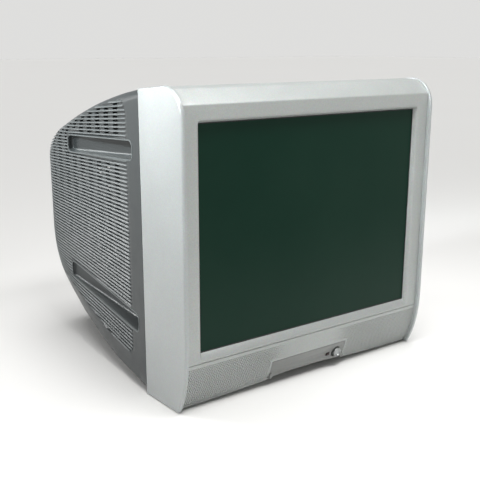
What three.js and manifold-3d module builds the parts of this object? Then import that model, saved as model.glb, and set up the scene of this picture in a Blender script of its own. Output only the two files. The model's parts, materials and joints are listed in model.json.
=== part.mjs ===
// A 21-inch flat-face cathode ray tube television, as an assembly of separate pieces.
// Millimetres, +Z up, +X to the viewer's right, and the screen faces -Y. Inside `set`, y runs from
// the front edge of the cheeks (0) to the back of the rear cover (DEPTH), and z from the table up.

import * as THREE from 'three';
import { mergeVertices } from 'three/addons/utils/BufferGeometryUtils.js';
import Module from 'manifold-3d';

const wasm = await Module();
wasm.setup();

// ---------- driving dimensions ----------

const WIDTH = 472;
const HEIGHT = 442;
const DEPTH = 487;
const SEAM = 106; // where the front cabinet meets the rear cover
const WALL = 3;
const GAP = 0.4;
const FLOOR = 2; // underside of the cabinet, standing on its feet

const CHEEK = 6; // thickness of a cheek
const CHEEK_LOW = 0.4; // a cheek's lower edge stays just clear of the table
const SHELL_X = WIDTH / 2 - CHEEK - GAP; // half width of the front moulding
const FACE = 6; // front face of the bezel
const CHIN_TOP = 72; // split line between the bezel and the chin panel
const CHIN_BACK = 30;
const ARCH = 10; // height of the chin's underside at the middle

const TUBE_Z = 240; // height of the tube's axis
const GLASS = 13.4; // front of the faceplate
const GLASS_W = 432;
const GLASS_H = 328;
const GLASS_R = 14;
const GLASS_WALL = 9;
const SKIRT_END = 78;
const OPENING_W = 408;
const OPENING_LOW = 85;
const OPENING_TOP = 396;
const BAND_FRONT = 40;
const BAND_BACK = 64;
const LUG_X = 188;
const LUG_Z = [62, 417];
const LUG_Y = 48;

const FLAP_W = 149;
const FLAP_LOW = 13.3;
const FLAP_TOP = 40;
const FLAP_SKIN = 2.4;
const PIVOT_Y = 21.5;
const PIVOT_Z = 13;
const PANEL_BACK = 46;
const POWER_X = 59;
const POWER_Z = 24;
const LAMP_X = 41.5;
const LAMP_Z = 23.5;
const KEY_Z = 29;
const KEYS = {
  volume_down_button: -12,
  volume_up_button: 0,
  channel_down_button: 13,
  channel_up_button: 25,
};
const JACK_XS = [-60, -46, -32];

const SPEAKER_X = 131;
const SPEAKER_Z = 38;
const SPEAKER_Y = 27;

const NECK_R = 14.6;
const NECK_END = 418;
const BOARD_Z = 30;
const FLYBACK = { x: -78, y: 300 };
const REAR_JACK_XS = [-44, -28, -12];
const AERIAL_X = 36;
const TERMINAL_Z = 83;
const GLAND = { x: -96, z: 96 };
const GRIP_CORNER = 8;
const TUNNEL_X = 205;
const TUNNEL_Z = 420;

// ---------- materials ----------

function finish(color, roughness = 0.5, metalness = 0) {
  return new THREE.MeshStandardMaterial({ color, roughness, metalness });
}

const SILVER = [0xaeb5b5, 0.42, 0.35];
const LIGHT_SILVER = [0xd5dcdd, 0.38, 0.35];
const DARK_GREY = [0x5f686c, 0.55, 0.1];
const BLACK_PLASTIC = [0x1d1e20, 0.6];
const STEEL = [0xa9acae, 0.35, 1];
const DARK_GLASS = [0x16302a, 0.06];
const GREY_GLASS = [0x2a2c2e, 0.35];
const COPPER = [0x9a4b22, 0.4, 0.8];
const FERRITE = [0x26272a, 0.8];
const BOARD = [0x6f5a2c, 0.7];
const RUBBER = [0x151515, 0.9];
const WHITE_PLASTIC = [0xd8d6cd, 0.5];

// ---------- solids ----------

function solid(geometry) {
  const bare = geometry.clone();
  bare.deleteAttribute('normal');
  bare.deleteAttribute('uv');
  const merged = mergeVertices(bare, 1e-3);
  const corners = [];
  for (let i = 0; i < merged.index.count; i += 3) {
    const [a, b, c] = [0, 1, 2].map((k) => merged.index.getX(i + k));
    if (a !== b && b !== c && c !== a) corners.push(a, b, c);
  }
  return new wasm.Manifold(new wasm.Mesh({
    numProp: 3,
    vertProperties: Float32Array.from(merged.attributes.position.array),
    triVerts: Uint32Array.from(corners),
  }));
}

function box(x, y, z) {
  const g = new THREE.BoxGeometry(x[1] - x[0], y[1] - y[0], z[1] - z[0]);
  g.translate((x[0] + x[1]) / 2, (y[0] + y[1]) / 2, (z[0] + z[1]) / 2);
  return solid(g);
}

// A solid of revolution about the line through (x, z) along Y; profile holds [radius, y] pairs.
function turned(profile, x = 0, z = TUBE_Z, sides = 20) {
  const g = new THREE.LatheGeometry(profile.map(([r, y]) => new THREE.Vector2(r, y)), sides);
  g.translate(x, 0, z);
  const s = solid(g);
  return s.volume() < 0 ? solid(flipped(g)) : s;
}

function flipped(g) {
  const out = g.clone();
  const index = [...out.index.array];
  for (let i = 0; i < index.length; i += 3) [index[i], index[i + 1]] = [index[i + 1], index[i]];
  out.setIndex(index);
  return out;
}

function rod(radius, y, x = 0, z = TUBE_Z, sides = 14) {
  return turned([[0, y[0]], [radius, y[0]], [radius, y[1]], [0, y[1]]], x, z, sides);
}

function rodX(radius, x, y, z, sides = 12) {
  const g = new THREE.CylinderGeometry(radius, radius, x[1] - x[0], sides);
  g.rotateZ(Math.PI / 2);
  g.translate((x[0] + x[1]) / 2, y, z);
  return solid(g);
}

function rodZ(radius, z, x, y, sides = 16) {
  const g = new THREE.CylinderGeometry(radius, radius, z[1] - z[0], sides);
  g.rotateX(Math.PI / 2);
  g.translate(x, y, (z[0] + z[1]) / 2);
  return solid(g);
}

function ringOf(inner, outer, y, x = 0, z = TUBE_Z, sides = 24) {
  return turned([[inner, y[0]], [outer, y[0]], [outer, y[1]], [inner, y[1]], [inner, y[0]]], x, z, sides);
}

// A (y, z) outline pushed along X. A bevel rounds both of its sides.
function alongX(shape, x, bevel = 0) {
  const g = new THREE.ExtrudeGeometry(shape, {
    depth: x[1] - x[0] - 2 * bevel,
    bevelEnabled: bevel > 0,
    bevelThickness: bevel,
    bevelSize: bevel,
    bevelOffset: -bevel,
    bevelSegments: 2,
    curveSegments: 6,
  });
  g.translate(0, 0, x[0] + bevel);
  g.applyMatrix4(new THREE.Matrix4().makeBasis(
    new THREE.Vector3(0, 1, 0), new THREE.Vector3(0, 0, 1), new THREE.Vector3(1, 0, 0)));
  return solid(g);
}

// An (x, z) outline pushed along Y.
function alongY(shape, y) {
  const g = new THREE.ExtrudeGeometry(shape, {
    depth: y[1] - y[0], bevelEnabled: false, curveSegments: 10,
  });
  g.rotateX(Math.PI / 2);
  g.translate(0, y[1], 0);
  return solid(g);
}

function roundRect(cx, cz, w, h, r) {
  const [a, b] = [w / 2 - r, h / 2 - r];
  const s = new THREE.Shape();
  s.absarc(cx + a, cz - b, r, -Math.PI / 2, 0);
  s.absarc(cx + a, cz + b, r, 0, Math.PI / 2);
  s.absarc(cx - a, cz + b, r, Math.PI / 2, Math.PI);
  s.absarc(cx - a, cz - b, r, Math.PI, 1.5 * Math.PI);
  s.closePath();
  return s;
}

// A closed ring of points in the plane y: a rounded rectangle whose low and high corners may differ.
function ring(y, halfWidth, low, high, lowCorner, highCorner, steps = 6) {
  const points = [];
  const corners = [
    [1, low + lowCorner[1], lowCorner, -Math.PI / 2],
    [1, high - highCorner[1], highCorner, 0],
    [-1, high - highCorner[1], highCorner, Math.PI / 2],
    [-1, low + lowCorner[1], lowCorner, Math.PI],
  ];
  for (const [side, z, [rx, rz], start] of corners) {
    for (let k = 0; k <= steps; k++) {
      const a = start + (k / steps) * (Math.PI / 2);
      points.push([side * (halfWidth - rx) + rx * Math.cos(a), y, z + rz * Math.sin(a)]);
    }
  }
  return points;
}

function evenRing(y, w, h, r, cx = 0, cz = TUBE_Z, steps = 6) {
  const c = [Math.min(r, w / 2 - 0.01), Math.min(r, h / 2 - 0.01)];
  return ring(y, w / 2, cz - h / 2, cz + h / 2, c, c, steps).map(([x, yy, z]) => [x + cx, yy, z]);
}

// Skins a list of rings that have the same number of points, and caps both ends.
function loft(rings) {
  const n = rings[0].length;
  const positions = rings.flat(2);
  const index = [];
  for (let i = 0; i + 1 < rings.length; i++) {
    for (let k = 0; k < n; k++) {
      const [a, b] = [i * n + k, i * n + ((k + 1) % n)];
      index.push(a, b, b + n, a, b + n, a + n);
    }
  }
  const last = (rings.length - 1) * n;
  for (let k = 1; k + 1 < n; k++) {
    index.push(0, k + 1, k);
    index.push(last, last + k, last + k + 1);
  }
  const g = new THREE.BufferGeometry();
  g.setAttribute('position', new THREE.Float32BufferAttribute(positions, 3));
  g.setIndex(index);
  const s = solid(g);
  return s.volume() < 0 ? solid(flipped(g)) : s;
}

function tube(points, radius, steps, sides = 8) {
  const path = new THREE.CatmullRomCurve3(points.map((p) => new THREE.Vector3(...p)));
  const section = new THREE.Shape(
    Array.from({ length: sides }, (_, k) => new THREE.Vector2(
      radius * Math.cos((2 * Math.PI * k) / sides), radius * Math.sin((2 * Math.PI * k) / sides))));
  return solid(new THREE.ExtrudeGeometry(section, { steps, extrudePath: path, bevelEnabled: false }));
}

// ---------- the assembly ----------

const set = new THREE.Group();
set.position.y = -DEPTH / 2;

function add(name, shape, [color, roughness, metalness]) {
  const data = shape.getMesh();
  const g = new THREE.BufferGeometry();
  g.setAttribute('position', new THREE.BufferAttribute(data.vertProperties, 3));
  g.setIndex(new THREE.BufferAttribute(data.triVerts, 1));
  g.computeVertexNormals();
  const mesh = new THREE.Mesh(g, finish(color, roughness, metalness));
  mesh.name = name;
  set.add(mesh);
}

// ---------- front cabinet ----------

// The side outline of the front cabinet, moved in by `inset` from the cheeks' outline.
function sideOutline(inset, back = SEAM) {
  const s = new THREE.Shape();
  const base = CHEEK_LOW + inset;
  s.moveTo(back, base);
  s.lineTo(22 + inset, base);
  s.quadraticCurveTo(inset, 37, inset, 95);
  s.lineTo(inset, HEIGHT - 42);
  s.absarc(42, HEIGHT - 42, 42 - inset, Math.PI, Math.PI / 2, true);
  s.lineTo(back, HEIGHT - 6 - inset);
  s.closePath();
  return s;
}

// The front outline of the moulding, with its arched underside.
function frontOutline(inset) {
  const half = SHELL_X - inset;
  const s = new THREE.Shape();
  s.moveTo(-half, FLOOR + inset);
  s.lineTo(-205, FLOOR + inset);
  s.bezierCurveTo(-120, FLOOR + inset, -110, ARCH + inset, 0, ARCH + inset);
  s.bezierCurveTo(110, ARCH + inset, 120, FLOOR + inset, 205, FLOOR + inset);
  s.lineTo(half, FLOOR + inset);
  s.lineTo(half, HEIGHT);
  s.lineTo(-half, HEIGHT);
  s.closePath();
  return s;
}

// The bezel's own side outline: its top edge is a broad sloping bevel.
function bezelOutline(inset, back = SEAM) {
  const f = FACE + inset;
  const s = new THREE.Shape();
  s.moveTo(back, 0);
  s.lineTo(29 + inset, 0);
  s.quadraticCurveTo(f, 38, f, 95);
  s.lineTo(f, 419 - inset / 2);
  s.lineTo(12 + inset, 427 - inset / 2);
  s.lineTo(28 + inset, 439 - inset);
  s.lineTo(50, 440.5 - inset);
  s.lineTo(back, 434.5 - inset);
  s.closePath();
  return s;
}

const moulding = alongX(bezelOutline(0), [-SHELL_X, SHELL_X]).intersect(alongY(frontOutline(0), [0, SEAM]));
const hollow = alongX(bezelOutline(WALL, SEAM + 5), [-SHELL_X + WALL, SHELL_X - WALL])
  .intersect(alongY(frontOutline(WALL), [0, SEAM + 5]));
const chinZone = (grow) => box([-WIDTH, WIDTH], [-1, CHIN_BACK + grow], [-1, CHIN_TOP - 0.3 + grow]);

function screenOpening() {
  const mid = (low, top) => [(top - low), (top + low) / 2];
  const [frontH, frontZ] = mid(OPENING_LOW - 8, OPENING_TOP + 2);
  const [backH, backZ] = mid(OPENING_LOW, OPENING_TOP);
  return loft([
    evenRing(FACE - 1, OPENING_W + 8, frontH, 5, 0, frontZ),
    evenRing(GLASS + 0.2, OPENING_W, backH, 4, 0, backZ),
  ]);
}

function screwPost(x, z, y, radius = 6) {
  return rod(radius, y, x, z, 12).subtract(rod(2.3, [y[0] + 10, y[1] + 1], x, z, 10));
}

function frontBezel() {
  let body = moulding.subtract(hollow).subtract(chinZone(0.3));
  const rimX = OPENING_W / 2 + 10;
  const rim = box([-rimX, rimX], [FACE + 1, GLASS - 0.4], [CHIN_TOP, OPENING_TOP + 9]);
  const shelf = box([-SHELL_X + 1, SHELL_X - 1], [FACE + 1, 36], [CHIN_TOP, CHIN_TOP + 2.6]);
  body = body.add(rim).add(shelf);
  for (const side of [-1, 1]) {
    const x = side * LUG_X;
    body = body.add(screwPost(x, LUG_Z[1], [FACE + 2, LUG_Y - GAP]).intersect(moulding));
    body = body.add(box([x - 3, x + 3], [24, 36], [LUG_Z[0] + 4, CHIN_TOP + 1]));
    body = body.add(screwPost(x, LUG_Z[0], [24, LUG_Y - GAP]));
    const wallX = [side * TUNNEL_X, side * (SHELL_X - 1)].sort((p, q) => p - q);
    const tunnelPost = box(wallX, [80, SEAM], [TUNNEL_Z - 3, TUNNEL_Z + 3])
      .add(rod(7, [80, SEAM], side * TUNNEL_X, TUNNEL_Z, 12));
    body = body.add(tunnelPost.subtract(rod(2.3, [84, SEAM + 1], side * TUNNEL_X, TUNNEL_Z, 10)));
  }
  body = body.subtract(screenOpening());
  for (const side of [-1, 1]) body = body.subtract(rodZ(3.3, [0, 12], side * 214, 62));
  return body;
}

function chinPanel() {
  let body = moulding.subtract(hollow).intersect(chinZone(0));
  const bosses = box([-FLAP_W / 2 - 5, FLAP_W / 2 + 5], [10, 27], [0, 19]).intersect(moulding);
  body = body.add(bosses);
  const notch = box([-FLAP_W / 2 - 0.5, FLAP_W / 2 + 0.5], [0, CHIN_BACK + 1], [-1, FLAP_TOP + 0.6]);
  body = body.subtract(notch);
  return body.subtract(rodX(1.9, [-FLAP_W / 2 - 3.6, FLAP_W / 2 + 3.6], PIVOT_Y, PIVOT_Z));
}

function controlFlap() {
  const skin = alongX(bezelOutline(0), [-FLAP_W / 2, FLAP_W / 2])
    .subtract(alongX(bezelOutline(FLAP_SKIN, SEAM + 5), [-FLAP_W / 2 - 1, FLAP_W / 2 + 1]));
  let body = skin.intersect(box([-WIDTH, WIDTH], [0, 40], [FLAP_LOW, FLAP_TOP]));
  for (const side of [-1, 1]) {
    const [near, far] = [side * (FLAP_W / 2 - 4), side * (FLAP_W / 2)].sort((p, q) => p - q);
    const ear = rodX(3, [near, far], PIVOT_Y, PIVOT_Z, 16)
      .add(box([near, far], [PIVOT_Y - 3.2, PIVOT_Y], [PIVOT_Z + 0.5, PIVOT_Z + 6]));
    const [pin0, pin1] = [side * (FLAP_W / 2 - 4), side * (FLAP_W / 2 + 3.2)].sort((p, q) => p - q);
    body = body.add(ear).add(rodX(1.5, [pin0, pin1], PIVOT_Y, PIVOT_Z));
  }
  body = body.subtract(rod(9, [0, 40], POWER_X, POWER_Z, 24));
  return body.subtract(box([LAMP_X - 4, LAMP_X + 4], [0, 40], [LAMP_Z - 2.6, LAMP_Z + 3.2]));
}

function controlPanel() {
  const half = FLAP_W / 2 + 3;
  let body = box([-half, half], [CHIN_BACK + 1, PANEL_BACK], [14.2, 45])
    .subtract(box([-half + 1.6, half - 1.6], [0, PANEL_BACK - 2], [15.8, 43.4]));
  body = body.add(box([-half, half], [15.6, CHIN_BACK + 1.5], [43.4, 45]));
  for (const x of Object.values(KEYS)) {
    body = body.subtract(box([x - 4.9, x + 4.9], [30, 60], [KEY_Z - 2.9, KEY_Z + 2.9]));
  }
  for (const x of JACK_XS) body = body.subtract(rod(4.6, [30, 60], x, KEY_Z));
  body = body.subtract(rod(3.5, [30, 60], POWER_X, POWER_Z));
  return body.subtract(box([LAMP_X - 3.6, LAMP_X + 3.6], [30, 60], [LAMP_Z - 2.4, LAMP_Z + 2.4]));
}

function jackBlock(xs, z, y, sockets) {
  let body = box([xs[0] - 6, xs[xs.length - 1] + 6], y, [z - 7, z + 7]);
  for (const x of xs) {
    body = body.add(rod(4.1, [Math.min(...sockets), Math.max(...sockets)], x, z));
  }
  const front = sockets[0] < y[0];
  for (const x of xs) {
    const bore = front ? [sockets[0] - 1, y[0] + 4] : [y[1] - 4, sockets[1] + 1];
    body = body.subtract(rod(1.7, bore, x, z, 10));
  }
  return body;
}

function makeFront() {
  add('front_bezel', frontBezel(), SILVER);
  add('chin_panel', chinPanel(), SILVER);
  add('left_cheek', alongX(sideOutline(0), [-WIDTH / 2, -WIDTH / 2 + CHEEK], 2.4), LIGHT_SILVER);
  add('right_cheek', alongX(sideOutline(0), [WIDTH / 2 - CHEEK, WIDTH / 2], 2.4), LIGHT_SILVER);
  add('control_flap', controlFlap(), [0x8d9392, 0.45, 0.3]);
  add('control_panel', controlPanel(), BLACK_PLASTIC);
  add('power_button', rod(7.4, [12.8, 20], POWER_X, POWER_Z, 24).add(rod(3, [19, 51], POWER_X, POWER_Z)),
    [0xcfd4d5, 0.2, 0.8]);
  add('power_switch', box([POWER_X - 8, POWER_X + 8], [55, 78], [POWER_Z - 8, POWER_Z + 8]), BLACK_PLASTIC);
  add('standby_light_pipe', box([LAMP_X - 3.1, LAMP_X + 3.1], [16.2, 53], [LAMP_Z - 1.9, LAMP_Z + 1.9]),
    [0x2b0f10, 0.1]);
  for (const [name, x] of Object.entries(KEYS)) {
    add(name, box([x - 4.4, x + 4.4], [37, 49], [KEY_Z - 2.4, KEY_Z + 2.4])
      .add(box([x - 5.6, x + 5.6], [47, 49], [KEY_Z - 3.6, KEY_Z + 3.6])), SILVER);
  }
  add('control_board', box([-70, 47], [54, 55.6], [16, 44]), BOARD);
  add('front_jack_block', jackBlock(JACK_XS, KEY_Z, [PANEL_BACK + 0.4, 53.6], [38, 48]), BLACK_PLASTIC);
}

function makeFeet() {
  const foot = (x, y) => rodZ(8, [0, FLOOR - 0.3], x, y).add(rodZ(2.9, [FLOOR - 1, FLOOR + 5], x, y));
  add('front_left_foot', foot(-214, 62), RUBBER);
  add('front_right_foot', foot(214, 62), RUBBER);
  add('rear_left_foot', foot(-100, 360), RUBBER);
  add('rear_right_foot', foot(100, 360), RUBBER);
}

// ---------- speakers ----------

function speakerShell(x, grow, y) {
  return loft([
    evenRing(y[0], 84 + grow, 44 + grow, 21 + grow / 2, x, SPEAKER_Z),
    evenRing(y[1], 30 + grow, 30 + grow, 15 + grow / 2, x, SPEAKER_Z),
  ]);
}

function makeSpeaker(side, x) {
  const flange = box([x - 47, x + 47], [SPEAKER_Y, SPEAKER_Y + 2.4], [SPEAKER_Z - 24.5, SPEAKER_Z + 24.5]);
  const basket = flange.add(speakerShell(x, 2, [SPEAKER_Y + 1, SPEAKER_Y + 26]))
    .subtract(speakerShell(x, -2, [SPEAKER_Y - 1, SPEAKER_Y + 24]))
    .add(rod(19, [SPEAKER_Y + 25, SPEAKER_Y + 38], x, SPEAKER_Z, 20))
    .subtract(rod(10, [SPEAKER_Y, SPEAKER_Y + 30], x, SPEAKER_Z));
  const cone = speakerShell(x, -18, [SPEAKER_Y + 3, SPEAKER_Y + 20])
    .subtract(speakerShell(x, -21, [SPEAKER_Y + 2, SPEAKER_Y + 18.6]));
  add(`${side}_speaker_basket`, basket, STEEL);
  add(`${side}_speaker_cone`, cone, [0x2a2928, 0.9]);
}

// ---------- picture tube ----------

function faceplate() {
  const outer = loft([
    evenRing(GLASS, GLASS_W - 8, GLASS_H - 8, GLASS_R - 4),
    evenRing(GLASS + 4, GLASS_W, GLASS_H, GLASS_R),
    evenRing(SKIRT_END, GLASS_W, GLASS_H, GLASS_R),
  ]);
  const [w, h] = [GLASS_W - 2 * GLASS_WALL, GLASS_H - 2 * GLASS_WALL];
  return outer.subtract(loft([
    evenRing(GLASS + 12, w, h, 8),
    evenRing(SKIRT_END + 1, w, h, 8),
  ]));
}

// The funnel's outer size at distances behind the faceplate's seal: [y, width, height, corner].
const FUNNEL = [
  [SKIRT_END + 0.4, GLASS_W, GLASS_H, GLASS_R],
  [96, 420, 316, 30],
  [130, 366, 274, 62],
  [175, 286, 216, 84],
  [215, 208, 164, 78],
  [250, 140, 120, 60],
  [280, 82, 80, 40],
  [302, 42, 42, 21],
  [318, 2 * NECK_R, 2 * NECK_R, NECK_R],
];

function funnelSolid(inset, end) {
  const rings = FUNNEL.map(([y, w, h, r], i) => {
    const move = i === 0 && inset > 0 ? -1 : 0;
    const t = inset * (i < 5 ? 1 : 0.4);
    return evenRing(y + move, w - 2 * t, h - 2 * t, Math.max(r - t, 4));
  });
  const t = inset * 0.4;
  rings.push(evenRing(end, 2 * (NECK_R - t), 2 * (NECK_R - t), NECK_R - t));
  return loft(rings);
}

function tensionBand() {
  const band = (grow, y) => loft([
    evenRing(y[0], GLASS_W + grow, GLASS_H + grow, GLASS_R + grow / 2),
    evenRing(y[1], GLASS_W + grow, GLASS_H + grow, GLASS_R + grow / 2),
  ]);
  let body = band(4, [BAND_FRONT, BAND_BACK]);
  for (const x of [-LUG_X, LUG_X]) {
    body = body.add(box([x - 11, x + 11], [LUG_Y, LUG_Y + 2], [LUG_Z[0] - 9, LUG_Z[1] + 9]));
  }
  body = body.subtract(band(1, [BAND_FRONT - 1, BAND_BACK + 1]));
  for (const x of [-LUG_X, LUG_X]) {
    for (const z of LUG_Z) body = body.subtract(rod(3, [LUG_Y - 1, LUG_Y + 3], x, z, 12));
  }
  return body;
}

function screw(x, z, seat, shaft, head = 5.5) {
  return turned([[0, seat - shaft], [1.8, seat - shaft], [1.8, seat], [head, seat],
    [head - 0.6, seat + 2.4], [head - 2.4, seat + 3.2], [0, seat + 3.2]], x, z, 12);
}

function shadowMask() {
  const frame = loft([evenRing(34, 404, 300, 8), evenRing(52, 404, 300, 8)])
    .subtract(loft([evenRing(35, 384, 280, 6), evenRing(53, 384, 280, 6)]));
  return frame;
}

function electronGun() {
  return turned([
    [0, 322], [8, 322], [8, 332], [11, 334], [11, 352], [8.5, 354], [8.5, 360], [11, 362], [11, 378],
    [7, 380], [7, 388], [10, 390], [10, 404], [5, 408], [0, 408]], 0, TUBE_Z, 16);
}

function tubeBase() {
  let body = rod(NECK_R - 0.2, [NECK_END + 0.4, NECK_END + 5], 0, TUBE_Z, 24);
  for (let k = 0; k < 10; k++) {
    const a = (2 * Math.PI * (k + 0.5)) / 12;
    const pin = rod(0.6, [NECK_END + 4, NECK_END + 11], 7.6 * Math.cos(a), TUBE_Z + 7.6 * Math.sin(a), 6);
    body = body.add(pin);
  }
  return body;
}

function tubeSocket() {
  let body = ringOf(4, 14, [NECK_END + 5.4, NECK_END + 14]);
  for (let k = 0; k < 10; k++) {
    const a = (2 * Math.PI * (k + 0.5)) / 12;
    const [x, z] = [7.6 * Math.cos(a), TUBE_Z + 7.6 * Math.sin(a)];
    body = body.subtract(rod(1, [NECK_END + 5, NECK_END + 12], x, z, 6));
  }
  return body;
}

function makeTube() {
  add('faceplate', faceplate(), DARK_GLASS);
  add('funnel', funnelSolid(0, NECK_END).subtract(funnelSolid(5, NECK_END + 1)), GREY_GLASS);
  add('tension_band', tensionBand(), STEEL);
  for (const [row, z] of [['lower', LUG_Z[0]], ['upper', LUG_Z[1]]]) {
    for (const [side, x] of [['left', -LUG_X], ['right', LUG_X]]) {
      add(`tube_screw_${row}_${side}`, screw(x, z, LUG_Y + 2.3, 16), STEEL);
    }
  }
  add('shadow_mask', shadowMask(), STEEL);
  add('electron_gun', electronGun(), STEEL);
  add('tube_base', tubeBase(), WHITE_PLASTIC);
  add('tube_socket', tubeSocket(), WHITE_PLASTIC);
  const boardY = NECK_END + 14.4;
  add('neck_board', box([-52, 46], [boardY, boardY + 1.6], [TUBE_Z - 50, TUBE_Z + 34]), BOARD);
}

// ---------- deflection yoke and the rings on the neck ----------

function magnetRing(y) {
  return ringOf(17, 25, y).add(box([-3, 3], y, [TUBE_Z + 24, TUBE_Z + 33]));
}

function makeYoke() {
  const former = turned([[58, 268], [82, 268], [82, 271], [62, 271], [50, 284], [31, 304],
    [22, 318], [22, 330], [24, 330], [24, 342], [15.6, 342], [15.6, 322], [18.5, 316],
    [27, 302], [46, 280], [58, 268]]);
  const coils = turned([[64, 272], [78, 272], [78, 280], [66, 284], [44, 308], [38, 316],
    [24.5, 316], [33, 304], [52.5, 284], [64, 272]]);
  const core = turned([[66, 286], [74, 286], [56, 306], [48, 306], [66, 286]]);
  add('yoke_former', former, WHITE_PLASTIC);
  add('yoke_core', core, FERRITE);
  add('yoke_coils', coils, COPPER);
  add('magnet_sleeve', ringOf(15.1, 16.6, [344, 372]), BLACK_PLASTIC);
  add('purity_ring', magnetRing([348, 351]), BLACK_PLASTIC);
  add('convergence_ring', magnetRing([356, 359]), WHITE_PLASTIC);
}

// ---------- leads and coils that stay inside ----------

function degaussingCoil() {
  const y = 118;
  const [a, b, r] = [206, 160, 60];
  const points = [];
  const corners = [[a - r, b - r, 0], [-a + r, b - r, 1], [-a + r, -b + r, 2], [a - r, -b + r, 3]];
  for (const [x, z, quarter] of corners) {
    for (let k = 0; k <= 3; k++) {
      const t = (quarter + k / 3) * (Math.PI / 2);
      points.push([x + r * Math.cos(t), y, TUBE_Z + z + r * Math.sin(t)]);
    }
  }
  points.unshift([a, y, TUBE_Z + 4]);
  points.push([a, y, TUBE_Z - 4]);
  return tube(points, 5, 48, 6);
}

const CAP = { y: 151, z: TUBE_Z + 131, tilt: 0.59 };

// The high-voltage lead runs from the cap, around the yoke, down to the flyback transformer.
function anodeLead() {
  const onCapAxis = (out) => [0, CAP.y + out * Math.sin(CAP.tilt), CAP.z + out * Math.cos(CAP.tilt)];
  const overFlyback = (up) => [FLYBACK.x, FLYBACK.y + 20, BOARD_Z + 84 + up];
  return tube([onCapAxis(13.6), onCapAxis(22), [-26, 190, 396], [-72, 226, 360], [-106, 268, 286],
    [-112, 304, 200], overFlyback(28), overFlyback(0.6)], 2.5, 30);
}


function anodeCap() {
  const g = new THREE.LatheGeometry(
    [[0, 0], [26, 0], [24, 3], [12, 7], [8, 13], [0, 13]].map(([r, h]) => new THREE.Vector2(r, h)), 20);
  g.rotateX(Math.PI / 2);
  g.rotateX(-CAP.tilt);
  g.translate(0, CAP.y, CAP.z);
  return solid(g);
}

// ---------- chassis ----------

function chassisTray() {
  let body = box([-132, 132], [116, 392], [20, 24]).subtract(box([-120, 120], [128, 380], [19, 25]));
  for (const y of [210, 296]) body = body.add(box([-126, 126], [y, y + 12], [20, 24]));
  for (const x of [-120, 120]) {
    for (const y of [124, 252, 382]) body = body.add(rodZ(4, [23, BOARD_Z - 0.3], x, y, 10));
  }
  for (const x of [-126, 126]) body = body.add(box([x - 4, x + 4], [120, 360], [16, 21]));
  return body;
}

function heatsink() {
  let body = box([20, 90], [300, 304], [BOARD_Z + 2, BOARD_Z + 62]);
  for (let k = 0; k < 6; k++) {
    const x = 22 + 12.4 * k;
    body = body.add(box([x, x + 2], [303, 322], [BOARD_Z + 2, BOARD_Z + 62]));
  }
  return body;
}

function flyback() {
  const { x, y } = FLYBACK;
  const body = box([x - 26, x + 26], [y, y + 40], [BOARD_Z + 2, BOARD_Z + 70]);
  const well = rodZ(16, [BOARD_Z + 69, BOARD_Z + 84], x, y + 20, 20);
  return body.add(well).subtract(rod(3.2, [y + 30, y + 42], x - 13, BOARD_Z + 50)).subtract(
    rod(3.2, [y + 30, y + 42], x - 13, BOARD_Z + 26));
}

function trimmer(z) {
  const { x, y } = FLYBACK;
  return rod(7, [y + 40.6, y + 48], x - 13, z, 20).add(rod(2.8, [y + 32, y + 41], x - 13, z, 12))
    .subtract(box([x - 19, x - 7], [y + 46.4, y + 49], [z - 0.8, z + 0.8]));
}

function makeChassis() {
  add('chassis_tray', chassisTray(), BLACK_PLASTIC);
  add('main_board', box([-128, 128], [120, 388], [BOARD_Z, BOARD_Z + 1.6]), BOARD);
  add('flyback_transformer', flyback(), BLACK_PLASTIC);
  add('focus_knob', trimmer(BOARD_Z + 50), WHITE_PLASTIC);
  add('screen_knob', trimmer(BOARD_Z + 26), WHITE_PLASTIC);
  add('heatsink', heatsink(), [0xb8babc, 0.4, 1]);
  add('main_capacitor', rodZ(15, [BOARD_Z + 2, BOARD_Z + 47], 60, 240, 24), [0x20262e, 0.4]);
  add('switching_transformer', box([40, 86], [180, 216], [BOARD_Z + 2, BOARD_Z + 40]).add(
    box([34, 92], [190, 206], [BOARD_Z + 8, BOARD_Z + 34])), [0xa88a3a, 0.5]);
}

function makeTerminals() {
  const socket = (r, y) => rod(r, y, AERIAL_X, TERMINAL_Z);
  add('terminal_board', box([-58, 58], [464, 465.6], [62, 104]).subtract(socket(5.5, [460, 470])), BOARD);
  add('rear_jack_block', jackBlock(REAR_JACK_XS, TERMINAL_Z, [466, 478.4], [478, 486]), BLACK_PLASTIC);
  add('tuner', box([AERIAL_X - 15, AERIAL_X + 15], [438, 463.6], [TERMINAL_Z - 16, TERMINAL_Z + 16])
    .add(socket(5, [463, 486])).subtract(rod(1.8, [478, 487], AERIAL_X, TERMINAL_Z, 10)), STEEL);
  let plate = box([-70, 70], [479, 481], [57, 109]).subtract(socket(5.6, [470, 490]));
  for (const x of REAR_JACK_XS) plate = plate.subtract(rod(4.6, [470, 490], x, TERMINAL_Z));
  add('terminal_panel', plate, BLACK_PLASTIC);
  add('mains_cord_gland', turned([[3.4, 479], [12, 479], [12, 483.6], [8.6, 483.6], [8.6, DEPTH - 1],
    [3.4, DEPTH - 1], [3.4, 479]], GLAND.x, GLAND.z), RUBBER);
}

// ---------- rear cover ----------

const REAR_ROUND = 34;

function blend(t, a, b) {
  return a + (b - a) * t;
}

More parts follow.
